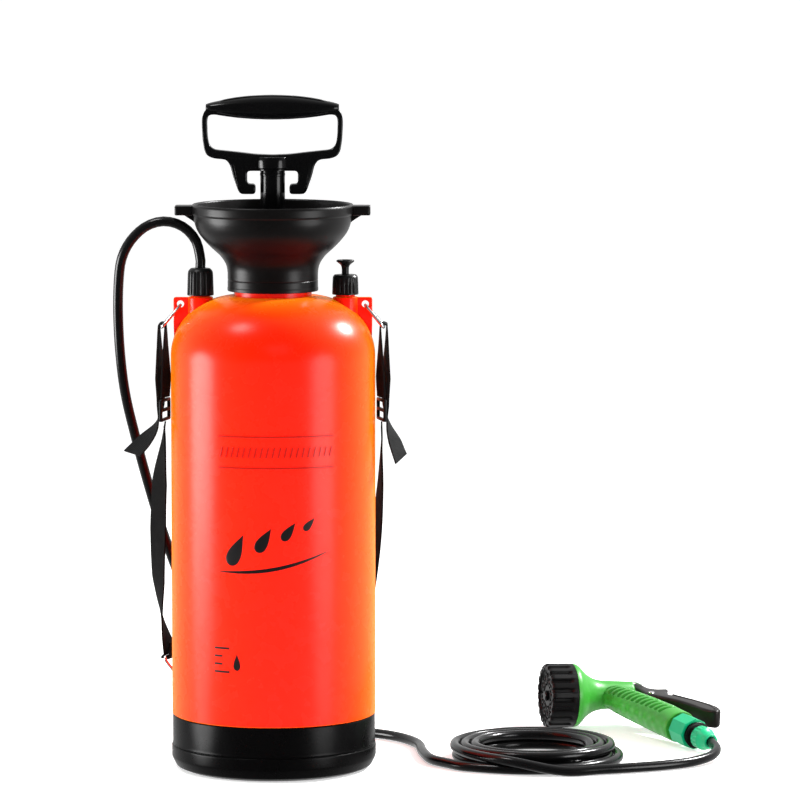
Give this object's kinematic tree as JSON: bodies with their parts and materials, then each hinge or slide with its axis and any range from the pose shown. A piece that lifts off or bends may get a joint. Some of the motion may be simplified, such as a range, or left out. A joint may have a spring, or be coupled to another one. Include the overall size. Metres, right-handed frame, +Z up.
{
  "type": "pump sprayer",
  "caption": "Standing compression sprayer: upright tank with a dark boot, hand pump in a filler funnel, side relief valve, carrying strap, coiled hose and a trigger spray gun.",
  "frame": {"origin": "middle of the boot's flat underside, on the floor", "axes": "+Z up along the tank's axis; the front faces -Y; the hose outlet is at -X and the relief valve at +X"},
  "size_m": [0.5537, 0.326, 0.6017],
  "materials": {
    "shell_red": "glossy moulded plastic, orange-red",
    "satin_black": "satin black moulded plastic",
    "rod_black": "smooth glossy black tube",
    "rubber": "soft black sealing rubber",
    "clear_plastic": "translucent natural plastic",
    "steel": "plain steel",
    "chrome": "bright plated wire",
    "webbing": "woven black webbing",
    "green": "satin green moulded plastic",
    "turquoise": "satin turquoise moulded plastic",
    "hose_black": "glossy flexible black hose"
  },
  "bodies": {
    "sprayer": {"tank": "shell_red", "base_boot": "satin_black", "funnel": "satin_black", "outlet_nipple": "satin_black", "outlet_nut": "satin_black", "relief_body": "satin_black", "strap_buckle_left": "satin_black", "strap_buckle_right": "satin_black", "stem_gland": "satin_black", "inlet_adapter": "satin_black", "connector_body": "satin_black", "neck_seal": "rubber", "outlet_gasket": "rubber", "relief_gasket": "rubber", "adapter_seal": "rubber", "dip_tube": "clear_plastic", "dip_filter": "clear_plastic", "relief_spring": "steel", "dial_screw": "steel", "trigger_pin": "steel", "strap_ring_left": "chrome", "strap_ring_right": "chrome", "low_ring_left": "chrome", "low_ring_right": "chrome", "strap_loop_left": "webbing", "strap_loop_right": "webbing", "strap_left": "webbing", "strap_right": "webbing", "gun_body": "green", "hose_nut": "turquoise", "hose_from_tank": "hose_black", "hose_to_gun": "hose_black", "hose_coil": "hose_black"},
    "pump_unit": {"pump_cap": "satin_black", "pump_gasket": "rubber", "pump_cylinder": "clear_plastic", "valve_retainer": "clear_plastic"},
    "valve_disc": {"check_valve": "rubber"},
    "plunger": {"piston": "clear_plastic", "piston_seal": "rubber"},
    "rod": {"pump_rod": "rod_black", "piston_screw": "steel", "handle": "satin_black", "handle_pin": "steel"},
    "relief": {"relief_stem": "satin_black", "relief_seal": "rubber"},
    "dial": {"nozzle_dial": "satin_black"},
    "lever": {"trigger": "satin_black"},
    "clip": {"hold_open_clip": "chrome"},
    "stem": {"valve_stem": "steel", "stem_seal": "rubber", "stem_spring": "steel", "stem_knob": "satin_black"},
    "sleeve": {"connector_sleeve": "turquoise"}
  },
  "joints": [
    {"name": "pump_lift", "type": "slide", "parent": "sprayer", "child": "pump_unit", "axis": [0, 0, 1], "range_m": [0, 0.33]},
    {"name": "pump_stroke", "type": "slide", "parent": "pump_unit", "child": "plunger", "axis": [0, 0, 1], "range_m": [-0.035, 0.165]},
    {"name": "handle_turn", "type": "hinge", "parent": "plunger", "child": "rod", "pos_m": [0, 0, 0.2735], "axis": [0, 0, 1], "range_deg": [0, 90]},
    {"name": "valve_drop", "type": "slide", "parent": "pump_unit", "child": "valve_disc", "axis": [0, 0, 1], "range_m": [-0.003, 0], "stiffness_N_per_m": 60},
    {"name": "relief_pull", "type": "slide", "parent": "sprayer", "child": "relief", "axis": [0, 0, 1], "range_m": [0, 0.004], "stiffness_N_per_m": 300, "springref_m": -0.003, "deforming": ["relief_spring"]},
    {"name": "dial_turn", "type": "hinge", "parent": "sprayer", "child": "dial", "pos_m": [0.31112, 0.21374, 0.02934], "axis": [-0.9738, -0.226, 0.0248], "continuous": true},
    {"name": "trigger_pull", "type": "hinge", "parent": "sprayer", "child": "lever", "pos_m": [0.34776, 0.19467, 0.02606], "axis": [-0.045, 0.0847, -0.9954], "range_deg": [0, 15], "stiffness_Nm_per_rad": 0.5, "springref_deg": -11.46},
    {"name": "clip_swing", "type": "hinge", "parent": "lever", "child": "clip", "pos_m": [0.33961, 0.21874, 0.02848], "axis": [-0.045, 0.0847, -0.9954], "range_deg": [0, 60]},
    {"name": "stem_slide", "type": "slide", "parent": "sprayer", "child": "stem", "axis": [0.9738, 0.226, -0.0248], "range_m": [0, 0.0071]},
    {"name": "sleeve_slide", "type": "slide", "parent": "sprayer", "child": "sleeve", "axis": [0.4673, -0.8789, -0.0959], "range_m": [0, 0.0036], "stiffness_N_per_m": 500, "springref_m": -0.002}
  ],
  "couplings": [
    {"joint": "stem_slide", "follows": "trigger_pull", "m_per_rad": 0.027}
  ]
}
